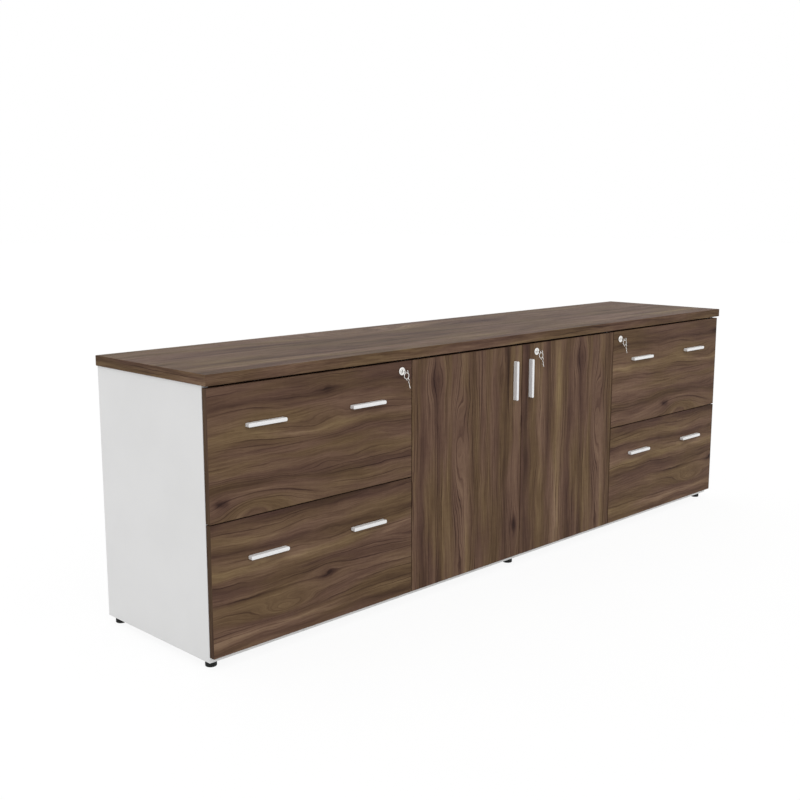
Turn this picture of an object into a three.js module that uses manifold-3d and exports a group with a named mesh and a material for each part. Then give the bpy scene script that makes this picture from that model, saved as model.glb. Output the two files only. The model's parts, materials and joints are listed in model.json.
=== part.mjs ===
// Office credenza: a white carcass on levelling feet under a walnut worktop, with two lateral-file drawers
// at each end, a pair of doors between them, and three cam locks with their keys.
// Millimetres, +Z up. The fronts face -Y and the left drawers stand at -X.
import * as THREE from 'three';
import { mergeVertices } from 'three/addons/utils/BufferGeometryUtils.js';
import Module from 'manifold-3d';

// Overall sizes
const WIDTH = 2400;
const DEPTH = 500;
const HEIGHT = 750;
const CUPBOARD_WIDTH = 990; // between the centre lines of the dividers
const UPPER_FRONT_HEIGHT = 336; // the lower drawer front takes the rest

// Boards
const TOP_THICKNESS = 28;
const BOARD = 18; // sides, dividers, bottom and shelf
const FRONT_THICKNESS = 18;
const BACK_THICKNESS = 16;
const EDGE_BAND = 1; // eased edge of the worktop and the fronts
const TOP_OVERHANG = 5; // worktop past the sides and past the fronts
const SHELF_SETBACK = 40;

// Gaps
const FIT = 0.3; // between a piece and its seat
const FRONT_GAP = 3; // between neighbouring fronts
const TOP_REVEAL = 6; // between the fronts and the worktop
const FRONT_LAP = 2.5; // fronts over the edge of the bottom board
const FRONT_CLEARANCE = 1; // between the fronts and the carcass edges

// Levelling feet
const FOOT_HEIGHT = 20;
const FOOT_RADIUS = 15;
const FOOT_ROUND = 2;
const FOOT_INSET = 23.5; // centre of a foot in from the sides and the back
const FOOT_SETBACK = 28.5; // centre of a foot behind the front edges of the carcass

// Drawer boxes of folded sheet steel, on channel runners
const SHEET = 1.5;
const BOX_CORNER = 6;
const BOX_LIP = 10; // rim turned inwards round the mouth
const BOX_LIFT = 19.5; // box above the lower edge of its front
const BOX_HEADROOM = 35; // box below the lock nut
const BOX_BACK_CLEARANCE = 20;
const RUNNER_SPACE = 12.7; // between the box and the carcass on each side
const RUNNER_HEIGHT = 45;
const RUNNER_DEPTH = 10;
const RUNNER_SETBACK = 4; // runner behind the front edges of the carcass
const RAIL_PLAY = 1.2; // between the rail and the web of its runner
const RUNNER_LIFT = 90; // middle of the runner above the underside of the box

// Bar handles, hollow on one long side for the fingertips
const HANDLE_LENGTH = 122;
const HANDLE_HEIGHT = 10;
const HANDLE_REACH = 14;
const HANDLE_ROUND = 3;
const HANDLE_EASE = 0.8;
const HANDLE_WALL = 2;
const HANDLE_END_WALL = 5;
const DRAWER_HANDLE_SPACING = 350; // between the centres of the two handles on a drawer
const DRAWER_HANDLE_DROP = 103.5; // below the upper edge of the front
const DOOR_HANDLE_INSET = 36.5; // in from the meeting edge
const DOOR_HANDLE_DROP = 109.5;

// Concealed hinges
const HINGE_END = 100; // hinge centre from the upper and lower edges of the door
const WING_CLEARANCE = 3; // wings of the cup from the face of the divider
const CUP_RADIUS = 17.2;
const CUP_DEPTH = 11.5;
const CUP_WALL = 1.2;
const CUP_RIM = 0.7; // rim above the back of the door
const WING_WIDTH = 24;
const WING_SPAN = 60;
const WING_THICKNESS = 1.2;
const ARM_WIDTH = 12;
const ARM_RISE = 14;
const ARM_TIP = 13;
const ARM_TIP_OFFSET = 2; // near edge of the tip from the cup centre
const PLATE_SETBACK = 20;
const PLATE_LENGTH = 48;
const PLATE_HEIGHT = 48;
const PLATE_THICKNESS = 3;

// Cam locks
const LOCK_DROP = 27; // below the upper edge of the front
const DRAWER_LOCK_INSET = 40; // in from the drawer edge beside the doors
const DOOR_LOCK_INSET = 67.5; // in from the meeting edge
const ROSE_RADIUS = 11.5;
const ROSE_THICKNESS = 2.5;
const ROSE_EASE = 0.8;
const BARREL_RADIUS = 9.2;
const BARREL_TAIL = 8; // barrel behind the front
const NUT_RADIUS = 12;
const NUT_THICKNESS = 4.5;
const PLUG_RADIUS = 5.7;
const PLUG_PROUD = 0.4;
const CAM_THICKNESS = 2;
const CAM_REACH = 28;
const CAM_HUB = 7;
const CAM_END = 5;

// Keys and rings
const KEY_THICKNESS = 2;
const KEY_BOW_RADIUS = 6;
const KEY_HOLE_RADIUS = 3.4;
const KEY_BLADE_WIDTH = 6.5;
const KEY_REACH = 29; // hole centre to blade tip
const KEY_STANDOFF = 19; // hole centre out from the front
const RING_RADIUS = 8.8;
const RING_WIRE = 0.9;
const SPARE_TILT = Math.PI / 9; // spare key to one side of the foot of its ring

// Facets
const ROUND_STEPS = 24;
const CORNER_STEPS = 2;
const BOW_STEPS = 8;
const WIRE_STEPS = 6;
const CUT_OVER = 1; // how far a cutting tool runs past the face that it opens
const FUSE = 0.5; // how deep joined forms run into each other

// Finishes
const FINISHES = {
  walnut: { color: 0x5c4a3c, roughness: 0.55, metalness: 0 },
  white: { color: 0xe6e6e6, roughness: 0.6, metalness: 0 },
  satinMetal: { color: 0xc9cacb, roughness: 0.4, metalness: 1 },
  nickel: { color: 0xd2d0cb, roughness: 0.25, metalness: 1 },
  greySteel: { color: 0xb9bbbd, roughness: 0.5, metalness: 0.4 },
  black: { color: 0x161616, roughness: 0.6, metalness: 0 },
};

// Planes and places that follow from the sizes
const CARCASS_HALF = WIDTH / 2 - TOP_OVERHANG;
const SIDE_INNER = CARCASS_HALF - BOARD;
const DIVIDER_X = CUPBOARD_WIDTH / 2;
const FRONT_FACE = TOP_OVERHANG;
const FRONT_BACK = FRONT_FACE + FRONT_THICKNESS;
const CARCASS_FRONT = FRONT_BACK + FRONT_CLEARANCE;
const BACK_FACE = DEPTH - BACK_THICKNESS;
const TOP_UNDERSIDE = HEIGHT - TOP_THICKNESS;
const FLOOR_BOARD_TOP = FOOT_HEIGHT + BOARD;
const FRONTS_BOTTOM = FLOOR_BOARD_TOP - FRONT_LAP;
const FRONTS_TOP = TOP_UNDERSIDE - TOP_REVEAL;
const LOCK_Z = FRONTS_TOP - LOCK_DROP;
const BOX_DROP = LOCK_DROP + NUT_RADIUS + BOX_HEADROOM; // box rim below the upper edge of its front
const BOX_FRONT = FRONT_BACK + FIT;
const BOX_BACK = BACK_FACE - BOX_BACK_CLEARANCE;
const DOOR_OUTER = DIVIDER_X - FRONT_GAP / 2;
const DRAWER_INNER = DIVIDER_X + FRONT_GAP / 2;
const MEETING_EDGE = FRONT_GAP / 2;
const DOOR_LOCK_X = MEETING_EDGE + DOOR_LOCK_INSET; // the lock is on the right door
const CUP_FROM_DIVIDER = WING_CLEARANCE + WING_WIDTH / 2;
const FRONT_REACH = KEY_STANDOFF + KEY_BOW_RADIUS - TOP_OVERHANG; // keys ahead of the worktop edge

const SIDES = [['left', -1], ['right', 1]];

const wasm = await Module();
wasm.setup();

const materials = Object.fromEntries(
  Object.entries(FINISHES).map(([name, finish]) => [name, new THREE.MeshStandardMaterial(finish)]),
);

// The group is centred front to back on the whole object, keys included, and stands on z = 0.
const credenza = new THREE.Group();
credenza.position.y = (FRONT_REACH - DEPTH) / 2;

function addPiece(name, geometry, finish) {
  const mesh = new THREE.Mesh(geometry, materials[finish]);
  mesh.name = name;
  credenza.add(mesh);
}

// A closed geometry as a solid for joining and cutting: equal corners become one, and faces that
// shrink to a line at a lathe's axis are dropped.
function solid(geometry) {
  const bare = geometry.clone();
  bare.deleteAttribute('normal');
  bare.deleteAttribute('uv');
  const welded = mergeVertices(bare);
  const corners = welded.index.array;
  const faces = [];
  for (let i = 0; i < corners.length; i += 3) {
    const [a, b, c] = corners.slice(i, i + 3);
    if (a !== b && b !== c && c !== a) faces.push(a, b, c);
  }
  const vertProperties = new Float32Array(welded.attributes.position.array);
  const triVerts = new Uint32Array(faces);
  return new wasm.Manifold(new wasm.Mesh({ numProp: 3, vertProperties, triVerts }));
}

function geometryOf(manifold) {
  const mesh = manifold.getMesh();
  const geometry = new THREE.BufferGeometry();
  geometry.setAttribute('position', new THREE.BufferAttribute(mesh.vertProperties, 3));
  geometry.setIndex(new THREE.BufferAttribute(mesh.triVerts, 1));
  geometry.computeVertexNormals();
  return geometry;
}

function fuse(...geometries) {
  const solids = geometries.map(solid);
  return geometryOf(solids.reduce((whole, next) => whole.add(next)));
}

function cut(geometry, ...tools) {
  const solids = tools.map(solid);
  return geometryOf(solids.reduce((whole, next) => whole.subtract(next), solid(geometry)));
}

// A square board between two corners.
function block(low, high) {
  const size = high.map((value, axis) => value - low[axis]);
  const middle = high.map((value, axis) => (value + low[axis]) / 2);
  return new THREE.BoxGeometry(...size).translate(...middle);
}

function rectangle(halfWidth, halfHeight) {
  const shape = new THREE.Shape();
  shape.moveTo(-halfWidth, -halfHeight);
  shape.lineTo(halfWidth, -halfHeight);
  shape.lineTo(halfWidth, halfHeight);
  shape.lineTo(-halfWidth, halfHeight);
  shape.closePath();
  return shape;
}

function roundedRectangle(halfWidth, halfHeight, radius) {
  const x = halfWidth - radius;
  const y = halfHeight - radius;
  const quarter = Math.PI / 2;
  const shape = new THREE.Shape();
  shape.absarc(x, -y, radius, -quarter, 0);
  shape.absarc(x, y, radius, 0, quarter);
  shape.absarc(-x, y, radius, quarter, 2 * quarter);
  shape.absarc(-x, -y, radius, 2 * quarter, 3 * quarter);
  shape.closePath();
  return shape;
}

// Extrusions of a flat outline. The outline's own axes become X and Z for alongY, Y and Z for alongX.
// An ease chamfers the rims, and then the outline is the one inside the chamfer.
function extrude(shape, depth, ease = 0, steps = CORNER_STEPS) {
  return new THREE.ExtrudeGeometry(shape, {
    depth: depth - 2 * ease,
    curveSegments: steps,
    bevelEnabled: ease > 0,
    bevelThickness: ease,
    bevelSize: ease,
    bevelSegments: 1,
  }).translate(0, 0, ease);
}

function alongY(shape, from, to, ease = 0) {
  return extrude(shape, to - from, ease).rotateX(Math.PI / 2).translate(0, to, 0);
}

function alongX(shape, from, to, steps) {
  const bar = extrude(shape, to - from, 0, steps);
  return bar.rotateX(Math.PI / 2).rotateZ(Math.PI / 2).translate(from, 0, 0);
}

// A round rod along Y.
function rod(radius, from, to, steps = ROUND_STEPS) {
  return new THREE.CylinderGeometry(radius, radius, to - from, steps).translate(0, (from + to) / 2, 0);
}

// A board with its faces' rims eased, lying between two corners and thin along Y or Z.
function easedPanel(low, high) {
  const [width, depth, height] = high.map((value, axis) => value - low[axis]);
  const flat = height < depth;
  const across = flat ? depth : height;
  const shape = rectangle(width / 2 - EDGE_BAND, across / 2 - EDGE_BAND);
  const thickness = flat ? height : depth;
  const panel = extrude(shape, thickness, EDGE_BAND).translate(0, 0, -thickness / 2);
  if (!flat) panel.rotateX(Math.PI / 2);
  return panel.translate(...high.map((value, axis) => (value + low[axis]) / 2));
}

// Carcass boards. Each seat keeps the fit gap.
function buildCarcass() {
  const half = WIDTH / 2;
  addPiece('worktop', easedPanel([-half, 0, TOP_UNDERSIDE], [half, DEPTH, HEIGHT]), 'walnut');
  const under = TOP_UNDERSIDE - FIT;
  const onFloorBoard = FLOOR_BOARD_TOP + FIT;
  const betweenSides = SIDE_INNER - FIT;
  addPiece('bottom_panel', block(
    [-betweenSides, CARCASS_FRONT, FOOT_HEIGHT],
    [betweenSides, DEPTH, FLOOR_BOARD_TOP],
  ), 'white');
  addPiece('back_panel', block(
    [-betweenSides, BACK_FACE, onFloorBoard],
    [betweenSides, DEPTH, under],
  ), 'white');
  for (const [side, sign] of SIDES) {
    const outer = sign * (CARCASS_HALF - BOARD / 2);
    addPiece(`${side}_side_panel`, block(
      [outer - BOARD / 2, CARCASS_FRONT, FOOT_HEIGHT],
      [outer + BOARD / 2, DEPTH, under],
    ), 'white');
    const middle = sign * DIVIDER_X;
    addPiece(`${side}_divider`, block(
      [middle - BOARD / 2, CARCASS_FRONT, onFloorBoard],
      [middle + BOARD / 2, BACK_FACE - FIT, under],
    ), 'white');
  }
  const shelfEnd = DIVIDER_X - BOARD / 2 - FIT;
  const shelfMiddle = (FLOOR_BOARD_TOP + TOP_UNDERSIDE) / 2;
  addPiece('cupboard_shelf', block(
    [-shelfEnd, CARCASS_FRONT + SHELF_SETBACK, shelfMiddle - BOARD / 2],
    [shelfEnd, BACK_FACE - FIT, shelfMiddle + BOARD / 2],
  ), 'white');
}

// A foot is a short turned cylinder with a round lower rim.
function footGeometry() {
  const top = FOOT_HEIGHT - FIT;
  const points = [new THREE.Vector2(0, 0)];
  for (let step = 0; step <= CORNER_STEPS; step += 1) {
    const angle = (Math.PI / 2) * (step / CORNER_STEPS);
    points.push(new THREE.Vector2(
      FOOT_RADIUS - FOOT_ROUND + FOOT_ROUND * Math.sin(angle),
      FOOT_ROUND - FOOT_ROUND * Math.cos(angle),
    ));
  }
  points.push(new THREE.Vector2(FOOT_RADIUS, top), new THREE.Vector2(0, top));
  return new THREE.LatheGeometry(points, ROUND_STEPS).rotateX(Math.PI / 2);
}

function buildFeet() {
  const corner = CARCASS_HALF - FOOT_INSET;
  const columns = [['left', -corner], ['middle', 0], ['right', corner]];
  const rows = [['front', CARCASS_FRONT + FOOT_SETBACK], ['rear', DEPTH - FOOT_INSET]];
  for (const [column, x] of columns) {
    for (const [row, y] of rows) {
      addPiece(`${column}_${row}_foot`, footGeometry().translate(x, y, 0), 'black');
    }
  }
}

// A handle lies along X with its back on y = 0, and its finger hollow opens downwards.
function handleGeometry() {
  const outline = roundedRectangle(
    HANDLE_LENGTH / 2 - HANDLE_EASE,
    HANDLE_HEIGHT / 2 - HANDLE_EASE,
    HANDLE_ROUND - HANDLE_EASE,
  );
  const bar = alongY(outline, -HANDLE_REACH, 0, HANDLE_EASE);
  const halfHollow = HANDLE_LENGTH / 2 - HANDLE_END_WALL;
  const hollow = block(
    [-halfHollow, HANDLE_WALL - HANDLE_REACH, -HANDLE_HEIGHT / 2 - CUT_OVER],
    [halfHollow, -HANDLE_WALL, HANDLE_HEIGHT / 2 - HANDLE_WALL],
  );
  return cut(bar, hollow);
}

// The lock's rose, threaded barrel and back nut, with the face of the front at y = 0.
function lockHousingGeometry() {
  const bore = PLUG_RADIUS + FIT;
  const tail = FRONT_THICKNESS + BARREL_TAIL;
  const profile = [
    [bore, -FIT - ROSE_THICKNESS],
    [ROSE_RADIUS - ROSE_EASE, -FIT - ROSE_THICKNESS],
    [ROSE_RADIUS, -FIT - ROSE_THICKNESS + ROSE_EASE],
    [ROSE_RADIUS, -FIT],
    [BARREL_RADIUS, -FIT],
    [BARREL_RADIUS, tail],
    [bore, tail],
    [bore, -FIT - ROSE_THICKNESS],
  ];
  const turned = new THREE.LatheGeometry(profile.map((p) => new THREE.Vector2(...p)), ROUND_STEPS);
  const nutFront = FRONT_THICKNESS + FIT;
  const nut = rod(NUT_RADIUS, nutFront, nutFront + NUT_THICKNESS, 6);
  const nutBore = rod(BARREL_RADIUS - FUSE, nutFront - CUT_OVER, nutFront + NUT_THICKNESS + CUT_OVER);
  return fuse(turned, cut(nut, nutBore));
}

// A flat key with a round bow, its hole at the origin and its blade along +Y.
function keyGeometry() {
  const spread = Math.asin(KEY_BLADE_WIDTH / 2 / KEY_BOW_RADIUS);
  const shape = new THREE.Shape();
  shape.absarc(0, 0, KEY_BOW_RADIUS, spread, 2 * Math.PI - spread);
  shape.lineTo(KEY_REACH, -KEY_BLADE_WIDTH / 2);
  shape.lineTo(KEY_REACH, KEY_BLADE_WIDTH / 2);
  shape.closePath();
  const hole = new THREE.Path();
  hole.absarc(0, 0, KEY_HOLE_RADIUS, 0, 2 * Math.PI, true);
  shape.holes.push(hole);
  return alongX(shape, -KEY_THICKNESS / 2, KEY_THICKNESS / 2, BOW_STEPS);
}

// The plug turns in the housing with the key in it and the cam on its tail.
// At rest the cam lies to one side, and a quarter turn brings it up.
function lockPlugGeometry(camSign) {
  const face = -FIT - ROSE_THICKNESS - PLUG_PROUD;
  const camFront = FRONT_THICKNESS + BARREL_TAIL + FIT;
  const plug = rod(PLUG_RADIUS, face, camFront + CAM_THICKNESS);
  const quarter = Math.PI / 2;
  const outline = new THREE.Shape();
  outline.absarc(0, 0, CAM_HUB, quarter, 3 * quarter);
  outline.absarc(CAM_REACH - CAM_END, 0, CAM_END, -quarter, quarter);
  outline.closePath();
  const cam = alongY(outline, camFront, camFront + CAM_THICKNESS);
  if (camSign < 0) cam.rotateY(Math.PI);
  return fuse(plug, cam, keyGeometry().translate(0, -KEY_STANDOFF, 0));
}

// A wire ring that hangs in the hole of the key, with the spare key hanging from it.
function spareKeyGeometry() {
  const ring = new THREE.TorusGeometry(RING_RADIUS, RING_WIRE, WIRE_STEPS, ROUND_STEPS);
  ring.rotateX(Math.PI / 2);
  const key = keyGeometry().rotateX(-Math.PI / 2);
  key.translate(0, 0, RING_WIRE - FUSE - KEY_HOLE_RADIUS - RING_RADIUS).rotateY(-SPARE_TILT);
  const ringTop = KEY_HOLE_RADIUS - RING_WIRE - FIT; // wire centre below the hole centre
  return fuse(ring, key).translate(0, -KEY_STANDOFF, -ringTop - RING_RADIUS);
}

function buildLock(name, x, camSign) {
  const place = [x, FRONT_FACE, LOCK_Z];
  addPiece(`${name}_lock_housing`, lockHousingGeometry().translate(...place), 'nickel');
  addPiece(`${name}_lock_plug`, lockPlugGeometry(camSign).translate(...place), 'nickel');
  addPiece(`${name}_spare_key`, spareKeyGeometry().translate(...place), 'nickel');
}

function lockBore(x) {
  const bore = rod(BARREL_RADIUS + FIT, -CUT_OVER, FRONT_THICKNESS + CUT_OVER);
  return bore.translate(x, FRONT_FACE, LOCK_Z);
}

// Section of a sheet channel with its web at one x and its mouth at another.
function channel(web, mouth, halfHeight) {
  const inner = web + Math.sign(mouth - web) * SHEET;
  const lip = halfHeight - SHEET;
  const shape = new THREE.Shape();
  shape.moveTo(web, -halfHeight);
  shape.lineTo(mouth, -halfHeight);
  shape.lineTo(mouth, -lip);
  shape.lineTo(inner, -lip);
  shape.lineTo(inner, lip);
  shape.lineTo(mouth, lip);
  shape.lineTo(mouth, halfHeight);
  shape.lineTo(web, halfHeight);
  shape.closePath();
  return shape;
}

// An open steel tray with a rim turned inwards, standing on z = 0 and centred on the other axes.
function trayGeometry(width, depth, height) {
  const outline = (inset, radius) => roundedRectangle(width / 2 - inset, depth / 2 - inset, radius);
  const outside = extrude(outline(0, BOX_CORNER), height);
  const inside = extrude(outline(SHEET, BOX_CORNER - SHEET), height - 2 * SHEET);
  const mouth = extrude(outline(BOX_LIP, BOX_CORNER), SHEET + 2 * CUT_OVER);
  return cut(outside, inside.translate(0, 0, SHEET), mouth.translate(0, 0, height - SHEET - CUT_OVER));
}

// One drawer with its front, handles and box, and the pair of runners that carries it.
function buildDrawer(side, sign, level, low, high) {
  const name = `${side}_${level}_drawer`;
  const middle = sign * (DRAWER_INNER + CARCASS_HALF) / 2;
  const halfFront = (CARCASS_HALF - DRAWER_INNER) / 2;
  const panel = easedPanel(
    [middle - halfFront, FRONT_FACE, low],
    [middle + halfFront, FRONT_BACK, high],
  );
  const lockX = sign * (DRAWER_INNER + DRAWER_LOCK_INSET);
  addPiece(`${name}_front`, level === 'upper' ? cut(panel, lockBore(lockX)) : panel, 'walnut');
  for (const [end, way] of [['outer', sign], ['inner', -sign]]) {
    const handle = handleGeometry();
    const x = middle + way * DRAWER_HANDLE_SPACING / 2;
    handle.translate(x, FRONT_FACE - FIT, high - DRAWER_HANDLE_DROP);
    addPiece(`${name}_handle_${end}`, handle, 'satinMetal');
  }

  const outerFace = sign * SIDE_INNER;
  const innerFace = sign * (DIVIDER_X + BOARD / 2);
  const boxLow = low + BOX_LIFT;
  const boxWidth = Math.abs(outerFace - innerFace) - 2 * RUNNER_SPACE;
  const tray = trayGeometry(boxWidth, BOX_BACK - BOX_FRONT, high - BOX_DROP - boxLow);
  tray.translate((outerFace + innerFace) / 2, (BOX_FRONT + BOX_BACK) / 2, boxLow);
  const runnerZ = boxLow + RUNNER_LIFT;
  const rails = [];
  for (const [end, face, way] of [['outer', outerFace, -sign], ['inner', innerFace, sign]]) {
    const at = (distance) => face + way * distance;
    const runner = channel(at(FIT), at(FIT + RUNNER_DEPTH), RUNNER_HEIGHT / 2);
    const runnerFront = CARCASS_FRONT + RUNNER_SETBACK;
    addPiece(`${side}_${level}_runner_${end}`,
      alongY(runner, runnerFront, BOX_BACK).translate(0, 0, runnerZ), 'greySteel');
    const rail = channel(
      at(FIT + SHEET + RAIL_PLAY),
      at(RUNNER_SPACE + FUSE),
      RUNNER_HEIGHT / 2 - SHEET - FIT,
    );
    rails.push(alongY(rail, BOX_FRONT + BOX_CORNER, BOX_BACK - BOX_CORNER).translate(0, 0, runnerZ));
  }
  addPiece(`${name}_box`, fuse(tray, ...rails), 'greySteel');
}

function buildDrawers() {
  const split = FRONTS_TOP - UPPER_FRONT_HEIGHT;
  for (const [side, sign] of SIDES) {
    buildDrawer(side, sign, 'upper', split, FRONTS_TOP);
    buildDrawer(side, sign, 'lower', FRONTS_BOTTOM, split - FRONT_GAP);
    buildLock(`${side}_drawer`, sign * (DRAWER_INNER + DRAWER_LOCK_INSET), sign);
  }
}

// A hinge cup sits in the back of a door, with two screw wings. The door's back is at y = 0.
function hingeCupGeometry() {
  const bore = CUP_RADIUS - CUP_WALL;
  const profile = [
    [0, -CUP_DEPTH],
    [CUP_RADIUS, -CUP_DEPTH],
    [CUP_RADIUS, CUP_RIM],
    [bore, CUP_RIM],
    [bore, CUP_WALL - CUP_DEPTH],
    [0, CUP_WALL - CUP_DEPTH],
  ];
  const cup = new THREE.LatheGeometry(profile.map((p) => new THREE.Vector2(...p)), ROUND_STEPS);
  const wings = block(
    [-WING_WIDTH / 2, FIT, -WING_SPAN / 2],
    [WING_WIDTH / 2, FIT + WING_THICKNESS, WING_SPAN / 2],
  );
  return fuse(cup, cut(wings, rod(bore, -CUT_OVER, FIT + WING_THICKNESS + CUT_OVER)));
}

// A hinge arm runs from its plate on the divider forwards into the cup. Its middle is at z = 0.
function hingeArmGeometry(sign) {
  const at = (distance) => sign * (DIVIDER_X - BOARD / 2 - distance);
  const tip = CUP_FROM_DIVIDER - ARM_TIP_OFFSET;
  const plateFront = CARCASS_FRONT + PLATE_SETBACK;
  const plateEnd = plateFront + PLATE_LENGTH;
  const tipEnd = FRONT_BACK - CUP_DEPTH + CUP_WALL + FIT;
  const outline = [
    [tip, tipEnd],
    [tip + ARM_TIP, tipEnd],
    [tip + ARM_TIP, CARCASS_FRONT],
    [ARM_RISE, plateFront],
    [ARM_RISE, plateEnd],
    [FIT, plateEnd],
    [FIT, plateFront],
    [tip, CARCASS_FRONT],
  ];
  const shape = new THREE.Shape(outline.map(([distance, y]) => new THREE.Vector2(at(distance), y)));
  const arm = extrude(shape, ARM_WIDTH).translate(0, 0, -ARM_WIDTH / 2);
  const plateMiddle = at(FIT + PLATE_THICKNESS / 2);
  const plate = block(
    [plateMiddle - PLATE_THICKNESS / 2, plateFront, -PLATE_HEIGHT / 2],
    [plateMiddle + PLATE_THICKNESS / 2, plateEnd, PLATE_HEIGHT / 2],
  );
  return fuse(arm, plate);
}

function buildDoor(side, sign) {
  const middle = sign * (MEETING_EDGE + DOOR_OUTER) / 2;
  const half = (DOOR_OUTER - MEETING_EDGE) / 2;
  const panel = easedPanel(
    [middle - half, FRONT_FACE, FRONTS_BOTTOM],
    [middle + half, FRONT_BACK, FRONTS_TOP],
  );
  const cupX = sign * (DIVIDER_X - BOARD / 2 - CUP_FROM_DIVIDER);
  const bores = [];
  for (const [end, z] of [['upper', FRONTS_TOP - HINGE_END], ['lower', FRONTS_BOTTOM + HINGE_END]]) {
    const bore = rod(CUP_RADIUS + FIT, FRONT_BACK - CUP_DEPTH - FIT, FRONT_BACK + CUT_OVER);
    bores.push(bore.translate(cupX, 0, z));
    const cup = hingeCupGeometry().translate(cupX, FRONT_BACK, z);
    addPiece(`${side}_door_${end}_hinge_cup`, cup, 'nickel');
    addPiece(`${side}_door_${end}_hinge_arm`, hingeArmGeometry(sign).translate(0, 0, z), 'nickel');
  }
  if (sign > 0) bores.push(lockBore(DOOR_LOCK_X));
  addPiece(`${side}_door`, cut(panel, ...bores), 'walnut');
  const handle = handleGeometry().rotateY(-Math.PI / 2);
  const handleX = sign * (MEETING_EDGE + DOOR_HANDLE_INSET);
  handle.translate(handleX, FRONT_FACE - FIT, FRONTS_TOP - DOOR_HANDLE_DROP);
  addPiece(`${side}_door_handle`, handle, 'satinMetal');
}

function buildDoors() {
  for (const [side, sign] of SIDES) buildDoor(side, sign);
  buildLock('door', DOOR_LOCK_X, -1);
}

buildCarcass();
buildFeet();
buildDrawers();
buildDoors();

export default credenza;
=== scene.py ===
# %% [markdown]
# # An office credenza
# A long, low cabinet: white boards on levelling feet, a walnut worktop, two file drawers at each end and a
# pair of doors between them. The boards, boxes, runners and hinges arrive as solids at their real size, in
# metres, with +Z up and the fronts facing -Y. Here they get their finishes, and the small turned and
# stamped parts are made again as finer surfaces.

# %% Load the solids
import json
import math
import bmesh
import bpy
import numpy as np
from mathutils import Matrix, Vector


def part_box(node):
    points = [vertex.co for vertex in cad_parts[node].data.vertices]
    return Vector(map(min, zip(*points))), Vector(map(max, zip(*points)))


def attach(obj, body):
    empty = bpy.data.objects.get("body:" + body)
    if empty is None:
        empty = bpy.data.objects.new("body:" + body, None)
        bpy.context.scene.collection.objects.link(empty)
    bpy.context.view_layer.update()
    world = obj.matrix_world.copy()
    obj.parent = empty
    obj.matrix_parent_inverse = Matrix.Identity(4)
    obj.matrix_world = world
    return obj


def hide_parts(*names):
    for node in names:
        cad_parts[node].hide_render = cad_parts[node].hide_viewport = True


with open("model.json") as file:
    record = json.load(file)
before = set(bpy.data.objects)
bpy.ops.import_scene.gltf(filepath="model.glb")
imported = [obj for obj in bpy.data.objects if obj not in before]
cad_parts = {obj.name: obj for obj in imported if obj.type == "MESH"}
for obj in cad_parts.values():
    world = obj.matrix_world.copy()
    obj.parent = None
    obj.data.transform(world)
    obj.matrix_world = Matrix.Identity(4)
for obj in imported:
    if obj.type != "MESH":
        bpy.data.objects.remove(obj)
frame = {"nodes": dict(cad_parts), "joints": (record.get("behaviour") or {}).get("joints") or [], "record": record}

MM = 0.001
NODES = frame["nodes"]
BODY_OF = {node: body for body, nodes in frame["record"]["behaviour"]["bodies"].items() for node in nodes}
SLOT_OF = {row["node"]: row["material_slot"] for row in frame["record"]["subparts"]}
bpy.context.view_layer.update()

# %% [markdown]
# ## The camera
# The photograph was taken from the left, a little above the worktop, with a lens of about 50 mm. The place
# was found by matching the corners of the worktop, the fronts and the side with those in the picture. A
# camera with no shift and no tilt of the horizon is enough.

# %% Camera
CAMERA_AT = (-2.7109, -2.3962, 1.1440)
CAMERA_AZIMUTH = math.radians(-45.083)
CAMERA_ELEVATION = math.radians(9.928)
LENS_MM = 50.0
SENSOR_MM = 36.0

scene = bpy.context.scene
camera = bpy.data.objects.new("camera", bpy.data.cameras.new("camera"))
scene.collection.objects.link(camera)
camera.data.lens = LENS_MM
camera.data.sensor_width = SENSOR_MM
camera.location = CAMERA_AT
camera.rotation_euler = (math.pi / 2 - CAMERA_ELEVATION, 0, CAMERA_AZIMUTH)
scene.camera = camera
print("camera at", tuple(camera.location))

# %% [markdown]
# ## Shader maths as Python
# A finish is a small program on the surface: grain runs along a board, a knot pushes it aside, a pore is a
# dark dash. In the node editor that is dozens of Math nodes. Wrapping a socket in a class with operators
# lets it be written as a formula, and one method makes every other kind of node.

# %% The value and finish classes
class Value:
    """A number that changes over the surface. Each operator adds one Math node."""

    def __init__(self, finish, socket):
        self.finish = finish
        self.socket = socket

    def math(self, operation, *others, clamp=False):
        inputs = dict(enumerate((self, *others)))
        settings = {"operation": operation, "use_clamp": clamp}
        return self.finish.node("ShaderNodeMath", settings, inputs)

    def __add__(self, other):
        return self.math("ADD", other)

    __radd__ = __add__

    def __mul__(self, other):
        return self.math("MULTIPLY", other)

    def __sub__(self, other):
        return self.math("SUBTRACT", other)

    def __rsub__(self, other):
        return self * -1 + other

    def __pow__(self, other):
        return self.math("POWER", other)

    def __abs__(self):
        return self.math("ABSOLUTE")

    def above(self, edge):
        return self.math("GREATER_THAN", edge)

    def clamped(self):
        return self.math("ADD", 0, clamp=True)

    def between(self, low, high):
        """0 at low and before, 1 at high and after, smooth between."""
        inputs = {"Value": self, "From Min": low, "From Max": high}
        return self.finish.node("ShaderNodeMapRange", {"interpolation_type": "SMOOTHSTEP"}, inputs)


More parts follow.
